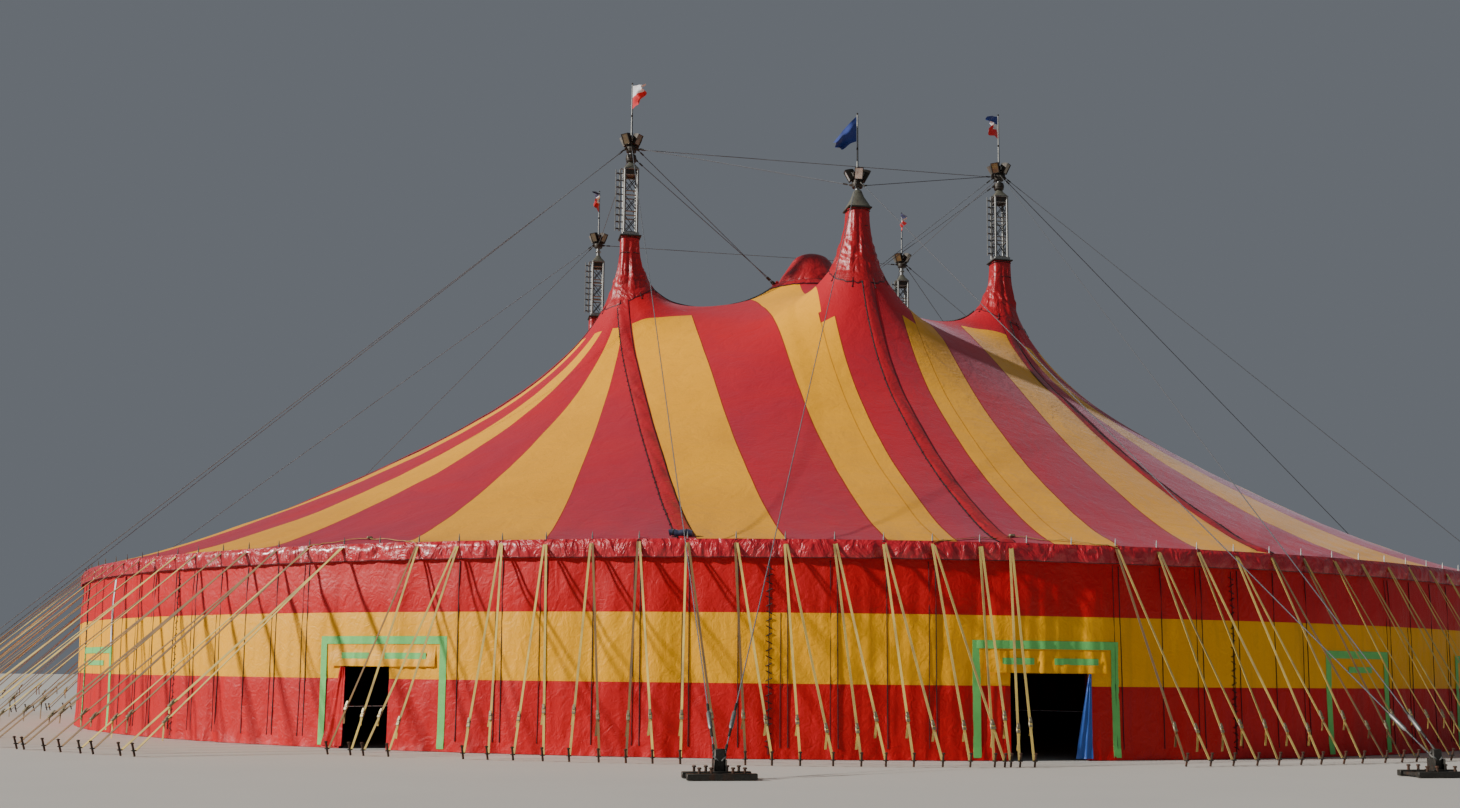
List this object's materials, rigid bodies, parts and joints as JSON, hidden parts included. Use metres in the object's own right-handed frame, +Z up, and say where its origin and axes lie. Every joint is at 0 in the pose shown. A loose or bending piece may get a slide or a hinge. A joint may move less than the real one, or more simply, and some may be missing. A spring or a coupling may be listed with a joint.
{
  "type": "circus big top tent, half-size model",
  "caption": "Round striped circus big top with lattice masts, raised crown dome, vertical wall, doorways and strap-braced rim, modelled at half size.",
  "frame": {"origin": "on the ground at the centre of the tent's round plan", "axes": "+X to the right along the front pair of tall masts, -Y to the front of the tent, +Z up"},
  "size_m": [31.9434, 31.65, 11.825],
  "materials": {
    "red_canvas": "coated canvas in red and yellow stripes, slightly faded",
    "yellow_canvas": "coated canvas in yellow and red stripes, slightly faded",
    "glossy_red_canvas": "smooth coated canvas, glossy",
    "galvanised_steel": "galvanised, weathered",
    "dark_metal": "dark painted, satin",
    "webbing": "woven polyester webbing",
    "flag_cloth": "thin woven cloth in plain colours"
  },
  "bodies": {
    "root": {"anchor_back_left": "galvanised_steel", "anchor_back_right": "galvanised_steel", "anchor_front_left": "galvanised_steel", "anchor_front_right": "galvanised_steel", "crown_dome": "glossy_red_canvas", "crown_ring": "galvanised_steel", "flag_back_left": "flag_cloth", "flag_back_right": "flag_cloth", "flag_front_left": "flag_cloth", "flag_front_middle": "flag_cloth", "flag_front_right": "flag_cloth", "lintel_back_left": "red_canvas", "lintel_back_right": "red_canvas", "lintel_front_left": "red_canvas", "lintel_front_right": "red_canvas", "mast_back_left": "galvanised_steel", "mast_back_right": "galvanised_steel", "mast_front_left": "galvanised_steel", "mast_front_middle": "galvanised_steel", "mast_front_right": "galvanised_steel", "mast_head_back_left": "dark_metal", "mast_head_back_right": "dark_metal", "mast_head_front_left": "dark_metal", "mast_head_front_middle": "dark_metal", "mast_head_front_right": "dark_metal", "mast_sleeve_back_left": "glossy_red_canvas", "mast_sleeve_back_right": "glossy_red_canvas", "mast_sleeve_front_left": "glossy_red_canvas", "mast_sleeve_front_middle": "glossy_red_canvas", "mast_sleeve_front_right": "glossy_red_canvas", "rigging_cables": "galvanised_steel", "rim_belt_and_poles_left": "galvanised_steel", "rim_belt_and_poles_right": "galvanised_steel", "roof_back": "red_canvas", "roof_corner_back_left": "yellow_canvas", "roof_corner_back_right": "yellow_canvas", "roof_corner_front_left": "yellow_canvas", "roof_corner_front_right": "yellow_canvas", "roof_front_left": "red_canvas", "roof_front_right": "red_canvas", "roof_left": "red_canvas", "roof_right": "red_canvas", "straps_back": "webbing", "straps_front": "webbing", "straps_left": "webbing", "straps_right": "webbing", "valance": "glossy_red_canvas", "wall_back": "red_canvas", "wall_front": "red_canvas", "wall_left_back": "red_canvas", "wall_left_front": "red_canvas", "wall_right_back": "red_canvas", "wall_right_front": "red_canvas"}
  },
  "joints": []
}
